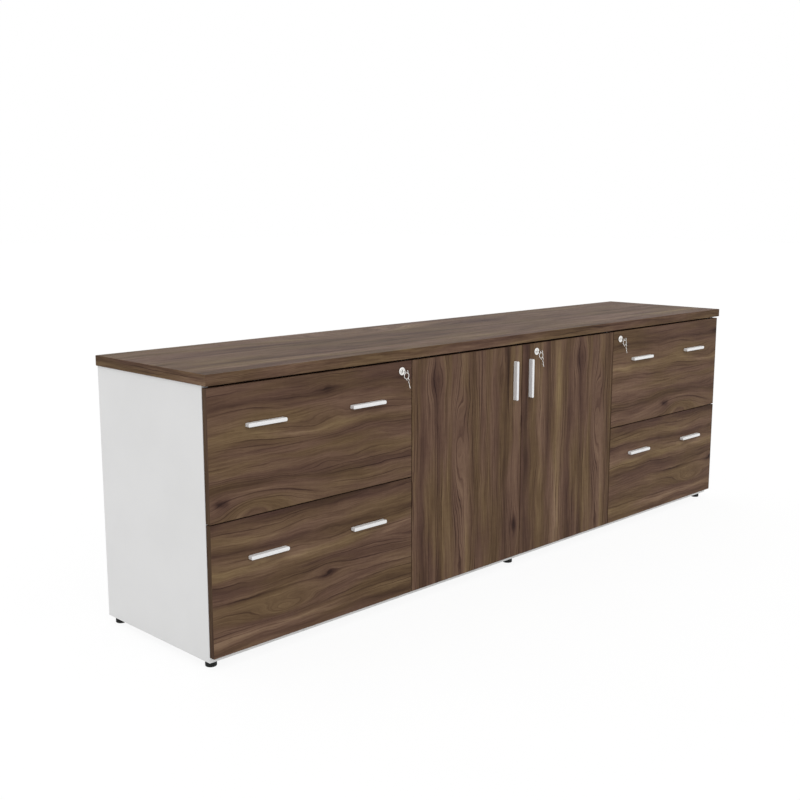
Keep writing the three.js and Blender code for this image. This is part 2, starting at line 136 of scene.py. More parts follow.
class Finish:
    """A material with one Principled shader, built from nodes."""

    def __init__(self, name):
        self.material = bpy.data.materials.new(name)
        self.material.use_nodes = True
        self.tree = self.material.node_tree
        self.shader = self.tree.nodes["Principled BSDF"]
        place = self.node("ShaderNodeTexCoord", out="Object")
        self.place = [self.node("ShaderNodeSeparateXYZ", {}, {0: place}, out=axis) for axis in range(3)]

    def node(self, kind, settings=(), inputs=(), out=0):
        """Any node: its settings first, then its inputs' values or links; gives one of its outputs."""
        made = self.tree.nodes.new(kind)
        for key, value in dict(settings).items():
            if key == "stops":
                self.set_stops(made.color_ramp, value)
            else:
                setattr(made, key, value)
        for key, value in dict(inputs).items():
            self.plug(made.inputs[key], value)
        return Value(self, made.outputs[out])

    def plug(self, socket, value):
        if isinstance(value, Value):
            self.tree.links.new(value.socket, socket)
        else:
            socket.default_value = value

    @staticmethod
    def set_stops(ramp, stops):
        while len(ramp.elements) < len(stops):
            ramp.elements.new(1.0)
        for element, (position, colour) in zip(ramp.elements, stops):
            element.position = position
            element.color = (*colour, 1.0)

    def noise(self, x, y, z=0.0, detail=2.0, roughness=0.5):
        """Smooth noise with one feature per unit of each coordinate, from 0 to 1 round 0.5."""
        place = self.node("ShaderNodeCombineXYZ", {}, {0: x, 1: y, 2: z})
        inputs = {"Vector": place, "Scale": 1.0, "Detail": detail, "Roughness": roughness}
        return self.node("ShaderNodeTexNoise", {}, inputs)

    def grain(self, scale, detail=2.0):
        """Noise that is alike in all directions, with as many features to the metre as the scale says."""
        return self.noise(*(place * scale for place in self.place), detail)

    def mix(self, amount, first, second, blend="MIX"):
        settings = {"data_type": "RGBA", "blend_type": blend, "clamp_factor": True}
        return self.node("ShaderNodeMix", settings, {0: amount, 6: first, 7: second}, out=2)

    def ramp(self, amount, stops):
        return self.node("ShaderNodeValToRGB", {"stops": stops}, {0: amount})

    def bump(self, height, distance, strength):
        inputs = {"Height": height, "Distance": distance, "Strength": strength}
        return self.node("ShaderNodeBump", {}, inputs)

    def shade(self, **sockets):
        """Sets the shader's sockets; base_color stands for Base Color, and so on."""
        for key, value in sockets.items():
            self.plug(self.shader.inputs[key.replace("_", " ").title().replace("Ior", "IOR")], value)
        return self.material


def srgb(red, green, blue):
    """A colour given as 0 to 255 on a screen, as the light it stands for."""
    screen = np.array((red, green, blue)) / 255
    light = np.where(screen <= 0.04045, screen / 12.92, ((screen + 0.055) / 1.055) ** 2.4)
    return tuple(light.tolist())


def rgba(red, green, blue):
    return (*srgb(red, green, blue), 1.0)


print("value and finish classes ready")

# %% [markdown]
# ## Walnut laminate
# The worktop, doors and drawer fronts are chipboard faced with a printed walnut figure: grain along the
# worktop and drawers, upright on the doors. A lengthwise cut through a tree shows its yearly rings as long
# lines, so the figure could be one stretched noise, but then every line would be straight. Here each point
# first gets the line it lies on: its height across the grain, bent by slow noise. Where a branch once
# grew, a knot squeezes the heights, and the lines part round a dark eye. Where the cut grazes a ring, a
# swell lifts the heights, and the lines arch over it or close round it.

# %% Walnut lines
EYE_FOCUS = 4
WARPS = (
    # Features to the metre along and across, step of the seed, detail, roughness, share of the drift.
    (1.4, 3.0, 0, 2.0, 0.50, 1.00),
    (3.5, 7.0, 4, 2.0, 0.50, 1.00),
    (9.0, 14.0, 3, 3.0, 0.60, 0.35),
)


def hill(*offsets):
    """1 where every offset is 0, and exp(-s) elsewhere, with s the sum of the squares of offset / reach."""
    spread = sum((offset * (1 / reach)) ** 2 for offset, reach in offsets)
    return (spread * -1).math("EXPONENT")


def bent_lines(finish, run, height, print_of):
    """The line that each point lies on, how near it is to a knot or swell, and the dark of the knots' eyes.
    A knot takes a share of the height over its centre away, and a swell adds to the height."""
    line = height
    near = 0.0
    eye = 0.0
    for along, across, step, detail, roughness, share in WARPS:
        warp = finish.noise(run * along, height * across, print_of["seed"] + step, detail, roughness) - 0.5
        line = line + warp * (print_of["drift"] * share)
    for at, level, reach, spread, parting, dark in print_of["knots"]:
        pull = hill((run - at, reach), (height - level, spread))
        line = line - (height - level) * pull * parting
        near = pull + near
        eye = pull ** EYE_FOCUS * dark + eye
    for at, level, reach, spread, swell in print_of["swells"]:
        pull = hill((run - at, reach), (height - level, spread))
        line = line + pull * swell
        near = pull + near
    return line, near, eye


print(len(WARPS), "warps bend the lines")

# %% [markdown]
# Each year ends with dark late wood, so a growth line darkens over the last part of its ring and stops at a
# crisp edge. Not all of them show: some do in patches along their run, more in bundles and near the knots.

# %% Walnut growth lines
RINGS = 95
RING_WANDER = 5
LATE_RISE = 3.4
LATE_DROP = 12
BUNDLE_DARK = 0.6
NEAR_DARK = 0.3


def growth_lines(finish, line, run, near, print_of):
    """How dark the late wood is. The age in a ring goes from 0 to 1: the dark rises straight to 1 near the
    end of the ring, and a steep fall to 0 cuts it off. Noise on the ring's number says where it shows."""
    seed = print_of["seed"]
    wander = finish.noise(line * 20, run * 1.3, seed + 13, detail=1.0)
    rings = line * RINGS + wander * RING_WANDER
    age = rings.math("FRACT")
    late = (age * LATE_RISE - (LATE_RISE - 1)).math("MINIMUM", (1 - age) * LATE_DROP).clamped()
    shown = finish.noise(rings.math("FLOOR") * 3.7, run * 2.2, seed + 15, detail=1.0).between(0.52, 0.70)
    bundled = sum(hill((line - level, half)) for level, half in print_of["bundles"])
    return late * (shown + bundled * BUNDLE_DARK + near * NEAR_DARK).clamped()


print(RINGS, "rings to the metre")

# %% [markdown]
# The growth lines lie over grain of four sizes, from broad bands to fibres, and over a few pale and dark
# streaks. Their sum is a tone, a ramp turns the tone into brown, and patches lean to plum or to olive.

# %% Walnut finish
EDGE_DEPTH = 0.5 * MM
END_RUN, END_HEIGHT = 1.7, 0.9
STREAK_TONE, STREAK_PATCHES = 0.09, 0.13
PORE_DARK = 0.22
PLUM = (1.025, 0.978, 1.045, 1)
OLIVE = (0.988, 1.003, 0.855, 1)
GRAINS = {
    # Features to the metre across and along, step of the seed, detail, roughness, weight.
    "broad": (13, 0.8, 5, 1.0, 0.50, 0.56),
    "bands": (44, 3.0, 7, 3.0, 0.60, 0.50),
    "lines": (130, 7.0, 9, 5.0, 0.65, 0.64),
    "fibres": (520, 9.0, 11, 1.0, 0.50, 0.32),
}
BROWNS = [
    (0.0, srgb(49, 36, 31)),
    (0.28, srgb(73, 55, 46)),
    (0.52, srgb(92, 72, 58)),
    (0.76, srgb(111, 90, 72)),
    (1.0, srgb(137, 116, 91)),
]


def walnut(name, node, grain, print_of, shift):
    """Walnut for one panel. grain is the axis its lines run along, and shift is how far the print is moved
    along and across it. The ends of a panel are cut from another place in the print."""
    low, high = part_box(node)
    middle = (low + high) / 2
    size = high - low
    thin = min(range(3), key=lambda axis: size[axis])
    wide = 3 - grain - thin
    finish = Finish(name)
    along, across, depth = (finish.place[axis] - middle[axis] for axis in (grain, wide, thin))
    end = abs(along).above(size[grain] / 2 - EDGE_DEPTH)
    front = (across * -1).above(size[wide] / 2 - EDGE_DEPTH)
    run = (along - shift[0]) * (1 - end) + (across + END_RUN) * end
    height = (across + depth - shift[1]) * (1 - end) + (depth + END_HEIGHT) * end

    seed = print_of["seed"]
    line, near, eye = bent_lines(finish, run, height, print_of)
    veins = growth_lines(finish, line, run, near, print_of)
    grains = {
        kind: finish.noise(line * fine, run * slow, seed + step, detail, roughness) - 0.5
        for kind, (fine, slow, step, detail, roughness, _) in GRAINS.items()
    }
    pale = sum(hill((line - level, half)) * amount for level, half, amount in print_of["streaks"])
    patchy = finish.noise(run * 4.5, line * 16, seed + 21).between(0.30, 0.62)
    smudge = finish.noise(run * 24, height * 60, seed + 25, detail=3.0)
    pores = finish.noise(height * 1900, run * 42, seed + 19, detail=0.0).between(0.60, 0.72)

    figure = sum(grains[kind] * row[-1] for kind, row in GRAINS.items())
    figure = figure + pale * (patchy * STREAK_PATCHES + STREAK_TONE) - veins * print_of["veins"]
    tone = figure * print_of["contrast"] + print_of["tone"] - eye * (smudge * 2.4 - 0.4)
    tone = tone + end * print_of["lift"] - front * print_of["shade"]

    colour = finish.ramp(tone, BROWNS)
    warmth = finish.noise(line * 16, run * 2.4, seed + 17).between(0.36, 0.66)
    plum = finish.mix(1.0, colour, PLUM, "MULTIPLY")
    olive = finish.mix(1.0, colour, OLIVE, "MULTIPLY")
    colour = finish.mix(warmth, plum, olive)
    colour = finish.mix(pores * PORE_DARK, colour, rgba(46, 32, 24))
    colour = finish.mix(end * print_of["end"], colour, rgba(46, 34, 27))
    return finish.shade(
        base_color=colour,
        roughness=0.50 - tone * 0.08 + pores * 0.1,
        specular_ior_level=print_of["sheen"],
        normal=finish.bump(grains["fibres"] * 0.5 - pores, 0.06 * MM, 0.6),
    )


print(len(GRAINS), "sizes of grain")

# %% [markdown]
# A print is made once and cut many times. The upper drawers share one print, and so do the lower drawers
# and the doors; a panel's shift says how far along or across the print it was cut. Places are in metres
# from the middle of the first panel. A streak is its level, its half width and how pale it is. A knot is
# its place along and across, its reach both ways, how far it parts the lines, and how dark its eye is. A
# swell is its place, its reach and its lift. A bundle is the level and half width of a strip of dark lines.

# %% Walnut prints
EAST, UP = 0, 2
TOP_PRINT = {
    "seed": 2.0, "drift": 0.020, "tone": 0.573, "contrast": 1.45, "veins": 0.56,
    "sheen": 0.022, "end": 0.0, "lift": 0.09, "shade": 0.06,
    "streaks": [
        (0.190, 0.020, 0.3), (0.046, 0.014, -0.3), (-0.032, 0.016, -0.5), (-0.104, 0.012, -0.3),
        (-0.148, 0.016, 0.4), (-0.220, 0.035, -0.3),
    ],
    "knots": [
        (-0.62, -0.06, 0.30, 0.07, 0.75, 0.06), (0.15, 0.11, 0.42, 0.09, 0.80, 0.06),
        (0.83, 0.05, 0.07, 0.03, 0.80, 0.22),
    ],
    "swells": [(-0.35, 0.16, 0.30, 0.05, 0.09)],
    "bundles": [(0.010, 0.012)],
}
FRONTS = {"drift": 0.035, "sheen": 0.025, "end": 0.45, "lift": 0.0, "shade": 0.0}
UPPER_PRINT = {
    **FRONTS, "seed": 31.0, "tone": 0.555, "contrast": 0.95, "veins": 0.62,
    "streaks": [
        (0.150, 0.024, -0.3), (0.113, 0.008, -0.8), (0.066, 0.016, 0.4), (0.024, 0.011, 1.0),
        (-0.012, 0.012, -0.5), (-0.114, 0.010, -0.9), (-0.150, 0.012, 0.5),
    ],
    "knots": [
        (0.030, 0.115, 0.05, 0.025, 0.80, 0.20), (-0.315, -0.130, 0.055, 0.030, 0.60, 0.50),
        (-0.010, 0.040, 0.13, 0.040, 0.85, 0.02), (0.015, -0.090, 0.07, 0.022, 0.80, 0.05),
    ],
    "swells": [(-0.200, -0.150, 0.15, 0.045, -0.055)],
    "bundles": [(-0.007, 0.012), (-0.100, 0.010)],
}
LOWER_PRINT = {
    **FRONTS, "seed": 47.0, "tone": 0.55, "contrast": 1.0, "veins": 0.65,
    "streaks": [
        (0.160, 0.026, -1.5), (0.104, 0.010, 0.5), (0.080, 0.008, -1.0), (0.036, 0.020, 1.2),
        (-0.010, 0.016, -0.6), (-0.080, 0.028, 0.5), (-0.138, 0.012, 1.3), (-0.164, 0.008, -0.6),
    ],
    "knots": [
        (0.030, -0.046, 0.055, 0.028, 0.82, 0.30), (0.050, 0.072, 0.06, 0.020, 0.80, 0.10),
        (0.360, 0.010, 0.10, 0.030, 0.80, 0.05),
    ],
    "swells": [(-0.115, -0.105, 0.13, 0.024, 0.038)],
    "bundles": [(-0.040, 0.010), (-0.128, 0.010)],
}
DOOR_PRINT = {
    **FRONTS, "seed": 59.0, "tone": 0.56, "contrast": 1.05, "veins": 0.95,
    "streaks": [
        (-0.440, 0.022, -1.4), (-0.364, 0.014, 0.5), (-0.328, 0.012, -0.8), (-0.280, 0.022, 1.2),
        (-0.212, 0.014, -0.7), (-0.170, 0.010, 0.5), (-0.150, 0.010, -0.8), (-0.122, 0.010, 0.8),
        (-0.092, 0.014, 0.6), (-0.032, 0.016, 1.1), (0.016, 0.014, -0.5), (0.160, 0.014, -1.0),
        (0.222, 0.012, 0.6),
    ],
    "knots": [
        (0.270, -0.152, 0.045, 0.040, 0.80, 0.11), (-0.235, 0.206, 0.055, 0.028, 0.85, 0.55),
        (0.255, 0.140, 0.06, 0.020, 0.85, 0.14), (-0.310, -0.05, 0.05, 0.020, 0.80, 0.10),
    ],
    "swells": [(0.080, -0.070, 0.20, 0.032, 0.042)],
    "bundles": [(0.012, 0.016), (-0.040, 0.012), (-0.155, 0.014), (0.170, 0.008)],
}
UNMOVED = (0.0, 0.0)
DRAWER_SHIFT = (0.308, 0.0)
DOOR_SHIFT = (0.0, 0.208)
CUTS = {
    "worktop": (EAST, TOP_PRINT, UNMOVED),
    "left_upper_drawer_front": (EAST, UPPER_PRINT, UNMOVED),
    "left_lower_drawer_front": (EAST, LOWER_PRINT, UNMOVED),
    "left_door": (UP, DOOR_PRINT, UNMOVED),
    "right_door": (UP, DOOR_PRINT, DOOR_SHIFT),
    "right_upper_drawer_front": (EAST, UPPER_PRINT, DRAWER_SHIFT),
    "right_lower_drawer_front": (EAST, LOWER_PRINT, DRAWER_SHIFT),
}
WALNUT = {}
for node, cut in CUTS.items():
    panel = node.removesuffix("_drawer_front").replace("_", " ")
    WALNUT[node] = walnut(f"walnut {panel}", node, *cut)
print(len(WALNUT), "walnut panels")

# %% [markdown]
# ## White melamine
# The carcass boards are white melamine. Up close it is not flat white: the press leaves a fine pebble, and
# the sheen is a little uneven where hands and cloths have passed. A cut front edge is closed with a strip
# of edging: white on most boards, and brown on the dividers, like the fronts that meet over them. The
# holes for the shelf pins are not cut in the dividers: each is a spot of painted shade, 5 mm across.

# %% Melamine finish
PIN_PITCH = 32 * MM
PIN_HOLE = 2.5 * MM
PIN_INSET = 50 * MM
PIN_LOWEST, PIN_HIGHEST = 0.20, 0.56
# The colour of the painted shade that stands for each shelf-pin hole.
PIN_HOLE_SHADE = rgba(70, 66, 62)
EDGING_DEPTH = 0.6 * MM
BROWN_EDGING = rgba(58, 42, 33), rgba(88, 68, 52)
DULL_WHITE, CLEAN_WHITE = (0.710, 0.709, 0.707, 1), (0.733, 0.732, 0.730, 1)
shelf_low, shelf_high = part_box("cupboard_shelf")


def melamine(name, divider=None):
    """White board. A divider has brown edging on its front edge, and two rows of painted shade spots, where
    the holes for the shelf pins would be, on the side towards the cupboard."""
    finish = Finish(name)
    pebble = finish.grain(900)
    cloud = finish.grain(6, detail=3.0)
    white = finish.mix(cloud.between(0.3, 0.7), DULL_WHITE, CLEAN_WHITE)
    if divider:
        x, y, z = finish.place
        low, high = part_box(divider)
        front = 1 - y.above(low.y + EDGING_DEPTH)
        lines = finish.noise(x * 300, y * 300, z * 6)
        white = finish.mix(front, white, finish.mix(lines, *BROWN_EDGING))
        middle = (shelf_low.y + shelf_high.y) / 2
        inner = 1 - abs(x).above(min(abs(low.x), abs(high.x)) + 0.2 * MM)
        up = ((z * (1 / PIN_PITCH)).math("FRACT") - 0.5) * PIN_PITCH
        out = abs(y - middle) - (shelf_high.y - middle - PIN_INSET)
        inside = z.above(PIN_LOWEST) * (1 - z.above(PIN_HIGHEST)) * inner
        # Painted shade: a dark spot where each shelf-pin hole would be, since no hole is cut.
        hole = (1 - (out ** 2 + up ** 2).above(PIN_HOLE ** 2)) * inside
        white = finish.mix(hole, white, PIN_HOLE_SHADE)
    return finish.shade(
        base_color=white,
        roughness=cloud * 0.12 + 0.40,
        normal=finish.bump(pebble, 0.03 * MM, 0.5),
    )


WHITE = melamine("white melamine")
DIVIDERS = {node: melamine(f"white {node}", node) for node in ("left_divider", "right_divider")}
print("made", WHITE.name, "and", len(DIVIDERS), "dividers with painted pin-hole shade")

# %% [markdown]
# ## Metals and plastic
# The handles are satin aluminium: drawn through a die, then rubbed lengthwise, which leaves fine lines that
# spread a highlight across them. Locks and keys are bright nickel plate with light wear. Runners are zinc
# plated, which crystallises in patches with slightly different shine. The drawer boxes are powder coated,
# and the coat dries with a slight orange peel. The feet are moulded in black plastic.

# %% Metal and plastic finishes
RUBBED_ALONG, RUBBED_ACROSS = 60.0, 4200.0
WEAR_FINER = 9
CLOUDS = 11


def satin_aluminium(name, grain):
    """Drawn aluminium whose rubbing lines run along one axis: noise with few features to the metre along
    it and many across."""
    finish = Finish(name)
    stretch = [RUBBED_ALONG if axis == grain else RUBBED_ACROSS for axis in range(3)]
    lines = finish.noise(*(place * scale for place, scale in zip(finish.place, stretch)))
    colour = finish.mix(lines.between(0.3, 0.7), (0.745, 0.745, 0.748, 1), (0.820, 0.820, 0.822, 1))
    return finish.shade(
        base_color=colour,
        metallic=0.15,
        roughness=lines * 0.16 + 0.36,
        normal=finish.bump(lines, 0.02 * MM, 0.35),
    )


def plated(name, dull, bright, roughness, patch, spread):
    """Plated metal: patches of slightly different shine, patch to the metre, and fine wear."""
    finish = Finish(name)
    patches = finish.grain(patch, detail=3.0)
    wear = finish.grain(patch * WEAR_FINER)
    colour = finish.mix(patches.between(0.35, 0.65), (*dull, 1), (*bright, 1))
    return finish.shade(
        base_color=colour,
        metallic=1.0,
        roughness=(patches - 0.5) * spread + wear * 0.08 + roughness,
        normal=finish.bump(wear, 0.01 * MM, 0.3),
    )


def coated(name, dark, light, roughness, pebbles, depth, sheen=0.5):
    """Paint or moulded plastic with a pebbled surface, as many pebbles to the metre as given."""
    finish = Finish(name)
    peel = finish.grain(pebbles)
    cloud = finish.grain(CLOUDS)
    return finish.shade(
        base_color=finish.mix(cloud.between(0.3, 0.7), (*dark, 1), (*light, 1)),
        roughness=peel * 0.14 + roughness,
        specular_ior_level=sheen,
        normal=finish.bump(peel, depth, 0.5),
    )


ALUMINIUM_FLAT = satin_aluminium("satin aluminium along x", EAST)
ALUMINIUM_UPRIGHT = satin_aluminium("satin aluminium along z", UP)
NICKEL = plated("bright nickel", (0.80, 0.79, 0.77), (0.88, 0.87, 0.85), 0.13, 160, 0.12)
ZINC = plated("zinc plate", (0.60, 0.61, 0.63), (0.74, 0.75, 0.77), 0.30, 70, 0.25)
POWDER = coated("grey powder coat", (0.50, 0.51, 0.52), (0.54, 0.55, 0.56), 0.42, 1100, 0.06 * MM)
PLASTIC = coated("black plastic", (0.011, 0.012, 0.011), (0.018, 0.019, 0.018), 0.42, 1600, 0.04 * MM, 0.12)
# Painted shade: a near-black plate on the plug's face stands for the dark of the keyway slot, which is not cut.
KEYWAY_SHADE = coated("shaded keyway", (0.008, 0.008, 0.008), (0.014, 0.013, 0.012), 0.60, 900, 0.03 * MM, 0.1)
print("made", len(bpy.data.materials), "materials")

# %% [markdown]
# ## Dressing the solids
# A finish goes on by what a solid is made of. The boards keep their own meshes, because a board is exactly
# its solid: flat faces, square corners and a small ease along the edges.

# %% Assign finishes
FINISH_OF_SLOT = {
    "white_melamine": WHITE,
    "satin_aluminium": ALUMINIUM_FLAT,
    "bright_nickel": NICKEL,
    "zinc_steel": ZINC,
    "grey_steel": POWDER,
    "black_plastic": PLASTIC,
}
for node, solid in NODES.items():
    solid.data.materials.clear()
    finish = WALNUT.get(node) or DIVIDERS.get(node) or FINISH_OF_SLOT[SLOT_OF[node]]
    solid.data.materials.append(finish)
print("dressed", len(NODES), "solids")

# %% [markdown]
# ## Surfaces from loops
# Every small part here is a row of loops: circles of changing size for a turned part, one section repeated
# along a bar, a wire's section carried along a coil. Quads join each loop to the next, and the row either
# closes on itself or is closed by a cap at each end. The points come as whole arrays.

# %% Loft and piece helpers
CREASE = math.radians(38)


def circle(steps):
    """Angles round a circle, in radians."""
    return np.linspace(0, 2 * np.pi, steps, endpoint=False)


def points_of(x, y, z):
    """An array of points from arrays of x, y and z, each repeated where it is shorter than the others."""
    return np.stack(np.broadcast_arrays(x, y, z), -1)


def loft(loops, around=False):
    """Quads between neighbouring loops of an (n, m, 3) array. Closed by caps, or by joining the last loop
    to the first when the row goes around."""
    rows, columns, _ = loops.shape
    index = np.arange(rows * columns).reshape(rows, columns)
    path = np.vstack([index, index[:1]]) if around else index
    this, following = path[:-1], path[1:]
    quads = np.stack([this, np.roll(this, -1, 1), np.roll(following, -1, 1), following], -1)
    caps = [] if around else [index[0][::-1].tolist(), index[-1].tolist()]
    return loops.reshape(-1, 3), quads.reshape(-1, 4).tolist() + caps


def turned(profile, steps=48, around=False):
    """A lathe about +Z: each (radius, height) of the profile, in mm, becomes a circle."""
    radius, height = np.array(profile, float).T[..., None] * MM
    angle = circle(steps)
    return loft(points_of(radius * np.cos(angle), radius * np.sin(angle), height), around)


def plate(outline, thickness, ease):
    """A flat plate about z = 0 from an outline of (x, y) in mm. Its rims are rounded: over a quarter turn
    the outline is drawn in by 1 - sin and its level falls by 1 - cos, times the ease."""
    points = np.array(outline, float) * MM
    tangent = np.roll(points, -1, 0) - np.roll(points, 1, 0)
    normal = np.stack([tangent[:, 1], -tangent[:, 0]], -1)
    normal /= np.linalg.norm(normal, axis=1, keepdims=True)
    turn = np.linspace(0, np.pi / 2, 4)
    inset = np.concatenate([1 - np.sin(turn), 1 - np.sin(turn[::-1])]) * ease * MM
    edge = (thickness / 2 - ease + ease * np.cos(turn)) * MM
    level = np.concatenate([-edge, edge[::-1]])
    x, y = np.moveaxis(points - normal * inset[:, None, None], -1, 0)
    return loft(points_of(x, y, level[:, None]))


def placed(part, origin, x_axis, z_axis):
    """The part with its own x and z axes along the given directions and its origin at the given place."""
    points, faces = part
    x_axis = np.array(x_axis, float) / np.linalg.norm(x_axis)
    z_axis = np.array(z_axis, float) / np.linalg.norm(z_axis)
    axes = np.stack([x_axis, np.cross(z_axis, x_axis), z_axis])
    return points @ axes + np.array(origin, float), faces


def piece(name, parts, material, node=None, body=None):
    """One object from several parts, smooth but for its creases, in the given finish. It takes the place of a
    solid, on the same body, or it is added to the body given."""
    offsets = np.cumsum([0] + [len(points) for points, _ in parts])
    corners = np.concatenate([points for points, _ in parts])
    faces = []
    for start, (_, part) in zip(offsets.tolist(), parts):
        faces += [[corner + start for corner in face] for face in part]
    mesh = bpy.data.meshes.new(name)
    mesh.from_pydata(corners.tolist(), [], faces)
    shape = bmesh.new()
    shape.from_mesh(mesh)
    bmesh.ops.recalc_face_normals(shape, faces=shape.faces)
    shape.to_mesh(mesh)
    shape.free()
    mesh.shade_smooth()
    mesh.set_sharp_from_angle(angle=CREASE)
    mesh.materials.append(material)
    made = bpy.data.objects.new(name, mesh)
    scene.collection.objects.link(made)
    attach(made, body or BODY_OF[node])
    if node:
        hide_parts(node)


print("loft helpers ready")

# %% [markdown]
# ## Bar handles
# Each handle is a short bar with round corners, milled hollow behind the front wall so that fingertips can
# hook in: from below on the drawers, from the right on the doors. Its section is one closed loop with a
# notch. Carried along the bar, the notch's depth grows from nothing past each end wall, and the section
# draws in round the end corners, so one row of loops gives the whole handle.

# %% Handles
HANDLE_ROUND = 3.0
HANDLE_EDGE = 1.3
HANDLE_WALL = 2.0
HANDLE_END = 5.0
# Towards its end wall the notch rises in a fillet: distance from the wall, and share of the full depth.
NOTCH_FILLET = ((1.2, 1.0), (0.6, 0.93), (0.15, 0.6))
NOTCH_NONE = 0.02
NOTCH_POINTS = (2, 3)


def bar_handle(length, reach, height):
    """Sizes in mm. At a place x along the bar the half height is height / 2 - r + sqrt(r^2 - u^2), where u
    is how far x is into the round end of radius r; the section is a rectangle with two round front edges
    and a notch from below."""
    turn = np.linspace(0, np.pi / 2, 9)
    round_x = length / 2 - HANDLE_ROUND + HANDLE_ROUND * np.sin(turn)
    round_h = height / 2 - HANDLE_ROUND + HANDLE_ROUND * np.cos(turn)
    wall = length / 2 - HANDLE_END
    full = height - HANDLE_WALL
    before, share = np.array(NOTCH_FILLET).T
    right_x = np.concatenate([[0], wall - before, [wall], round_x])
    right_h = np.concatenate([np.full(len(before) + 2, height / 2), round_h])
    right_d = np.concatenate([[full], full * share, np.full(len(turn) + 1, NOTCH_NONE)])
    x = np.concatenate([-right_x[:0:-1], right_x])
    h = np.concatenate([right_h[:0:-1], right_h])
    notch = np.concatenate([right_d[:0:-1], right_d])

    lower = np.linspace(1.5 * np.pi, np.pi, 7)
    upper = np.linspace(np.pi, 0.5 * np.pi, 7)
    inner = -reach + HANDLE_WALL
    y = np.concatenate([
        [0, -HANDLE_WALL, -HANDLE_WALL, inner, inner],
        -reach + HANDLE_EDGE * (1 + np.cos(lower)),
        -reach + HANDLE_EDGE * (1 + np.cos(upper)),
        [-HANDLE_EDGE, 0],
    ])
    side = np.concatenate([np.full(5 + len(lower), -1.0), np.full(len(upper) + 2, 1.0)])
    rise = np.concatenate([
        np.zeros(5),
        HANDLE_EDGE * (1 + np.sin(lower)),
        HANDLE_EDGE * (np.sin(upper) - 1),
        [0, 0],
    ])
    cut = np.isin(np.arange(len(side)), NOTCH_POINTS)
    z = side * h[:, None] + rise + cut * notch[:, None]
    return loft(points_of(x[:, None], y, z) * MM)


def dress_handle(node, upright):
    """A bar in the place of its solid, its notch turned down, or to the right on an upright one."""
    low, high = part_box(node)
    size = (high - low) / MM
    middle = (low + high) / 2
    seat = (middle.x, high.y, middle.z)
    if upright:
        bar = placed(bar_handle(size.z, size.y, size.x), seat, (0, 0, 1), (-1, 0, 0))
    else:
        bar = placed(bar_handle(size.x, size.y, size.z), seat, (1, 0, 0), (0, 0, 1))
    finish = ALUMINIUM_UPRIGHT if upright else ALUMINIUM_FLAT
    piece(f"{node}_bar", [bar], finish, node)


HANDLES = [node for node in NODES if "_handle" in node]
for node in HANDLES:
    dress_handle(node, "door" in node)
print(len(HANDLES), "handles")

# %% [markdown]
# ## Levelling feet
# A foot is a moulded plastic knob on a screw: round below so that it slides, and finely ribbed round its
# side so that fingers can turn it to level the cabinet. The ribs are a wave round the turned shape that
# fades out above and below.

# %% Feet
FOOT_RIM = 2.0
FOOT_RIBS = 30
FOOT_RIB_DEPTH = 0.45
FOOT_RIB_STEPS = 6
RIBS_ABOVE_RIM, RIBS_BELOW_TOP = 1.0, 1.4
# The eased upper rim: how far in from the side, and how far below the top.
FOOT_TOP = ((0.6, 0.4), (1.2, 0.0))


def levelling_foot(radius, height):
    """Radius at angle a and height z, in mm: the turned outline less a rib wave
    (1 - cos(ribs * a)) / 2 weighted by a smooth hump over the middle of the side."""
    turn = np.linspace(0, np.pi / 2, 9)
    rim = FOOT_RIM
    straight = np.linspace(rim + RIBS_ABOVE_RIM, height - RIBS_BELOW_TOP, 8)
    inset, below = np.array(FOOT_TOP).T
    side = np.full(len(straight), radius)
    outline_r = np.concatenate([radius - rim + rim * np.sin(turn), side, radius - inset])
    outline_z = np.concatenate([rim - rim * np.cos(turn), straight, height - below])
    angle = circle(FOOT_RIBS * FOOT_RIB_STEPS)
    share = np.clip((outline_z - straight[0]) / (straight[-1] - straight[0]), 0, 1)
    hump = np.sin(np.pi * share) ** 0.5
    wave = (1 - np.cos(FOOT_RIBS * angle)) / 2
    ring = outline_r[:, None] - FOOT_RIB_DEPTH * hump[:, None] * wave
    return loft(points_of(ring * np.cos(angle), ring * np.sin(angle), outline_z[:, None]) * MM)


FEET = [node for node in NODES if node.endswith("_foot")]
for node in FEET:
    low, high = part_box(node)
    middle = (low + high) / 2
    radius = (high.x - low.x) / 2 / MM
    knob = levelling_foot(radius, (high.z - low.z) / MM)
    knob = placed(knob, (middle.x, middle.y, low.z), (1, 0, 0), (0, 0, 1))
    piece(f"{node}_knob", [knob], PLASTIC, node)
print(len(FEET), "feet")

# %% [markdown]
# ## Cam locks and keys
# A key is stamped: a round bow with a hole, a shoulder that stops at the lock, and a blade cut to a
# bitting. Each lock has two. One stands in the lock, a split ring of two turns of wire hangs in its bow, and
# the ring carries the spare.

# %% Key and ring
RING_RADIUS = 8.8
RING_WIDTH = 0.9
RING_DEPTH = 1.4
KEY_HOLE = 3.4
KEY_THICKNESS = 2.0
KEY_REACH = 29.0
BOW_RADIUS, BOW_SCALLOP = 5.9, 0.1
BOW_POWER = 0.35
# Along the key: place and half width of the stem and shoulder, then of the blade, then of its tip above and
# below.
STEM = [(4.6, 2.5), (5.8, 2.3), (8.0, 2.2), (13.4, 2.3), (13.6, 3.25), (15.0, 3.25), (15.2, 2.6)]
BLADE_FROM, BLADE_STEP, BLADE_HALF = 16.4, 0.76, 2.6
TIP = [(27.8, 2.2, 1.6), (28.6, 1.2, 0.8), (KEY_REACH, 0.4, 0.3)]
BITTING = (0.9, 1.6, 0.6, 1.3, 0.4)
GROOVE_FROM = 15.1


